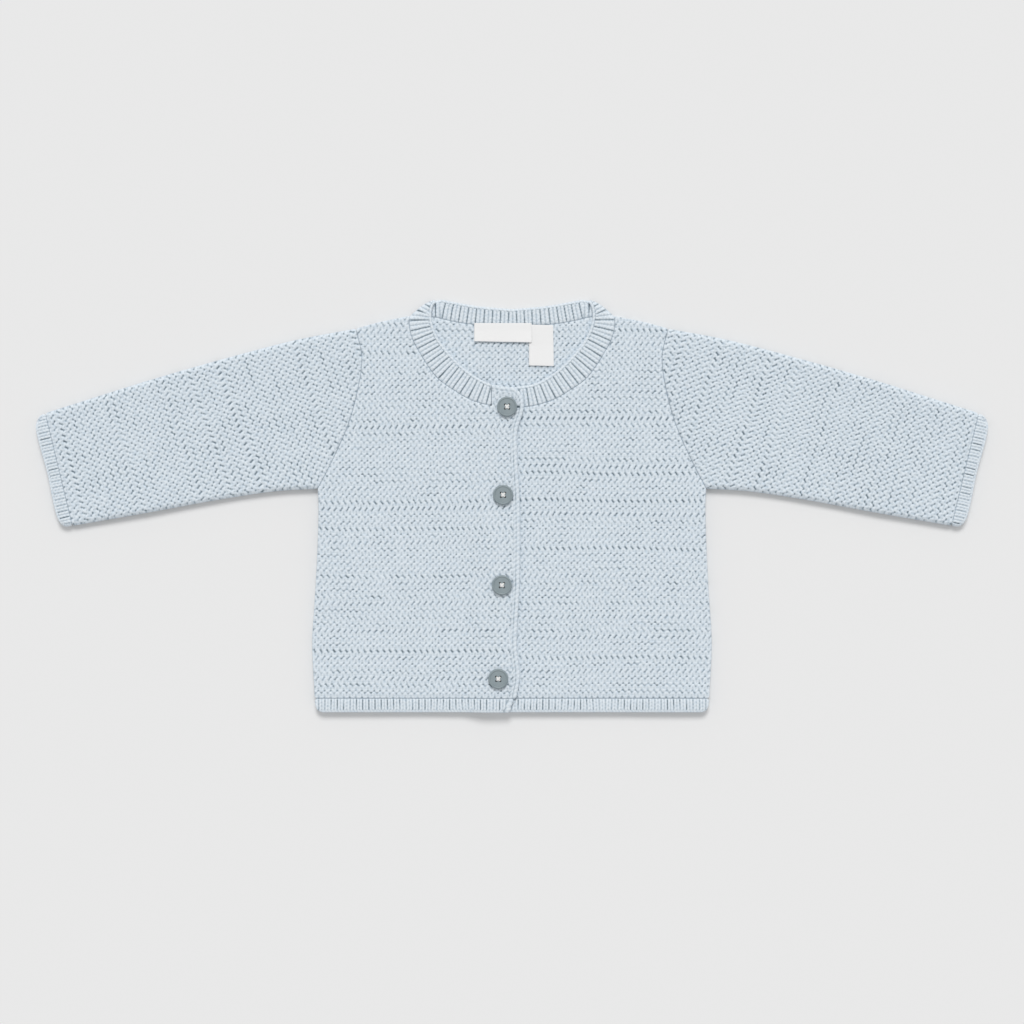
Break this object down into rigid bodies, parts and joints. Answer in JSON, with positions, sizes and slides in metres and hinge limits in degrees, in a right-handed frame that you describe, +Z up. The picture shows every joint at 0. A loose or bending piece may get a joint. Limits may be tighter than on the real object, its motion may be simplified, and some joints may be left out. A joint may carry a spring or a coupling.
{
  "type": "knitted baby cardigan laid flat",
  "caption": "Long-sleeved garter-stitch baby cardigan with ribbed neckband, hem and cuffs, buttoned down the front and lying flat on its back.",
  "frame": {"origin": "under the middle of the garment, on the surface it lies on", "axes": "+X towards the wearer's left sleeve, +Y from the hem towards the neck, +Z up out of the surface"},
  "size_m": [0.619, 0.2688, 0.0123],
  "materials": {
    "yarn": "matt melange knit, garter stitch",
    "rib_yarn": "matt melange knit, rib",
    "resin": "satin",
    "thread": "matt",
    "tape": "woven satin tape"
  },
  "bodies": {
    "root": {"back_panel": "yarn", "front_left": "yarn", "front_right": "yarn", "sleeve_left": "yarn", "sleeve_right": "yarn", "neckband": "rib_yarn", "hem_back": "rib_yarn", "hem_front_left": "rib_yarn", "hem_front_right": "rib_yarn", "cuff_left": "rib_yarn", "cuff_right": "rib_yarn", "neck_label": "tape", "size_label": "tape", "button_1": "resin", "button_2": "resin", "button_3": "resin", "button_4": "resin", "button_thread_1": "thread", "button_thread_2": "thread", "button_thread_3": "thread", "button_thread_4": "thread"}
  },
  "joints": []
}
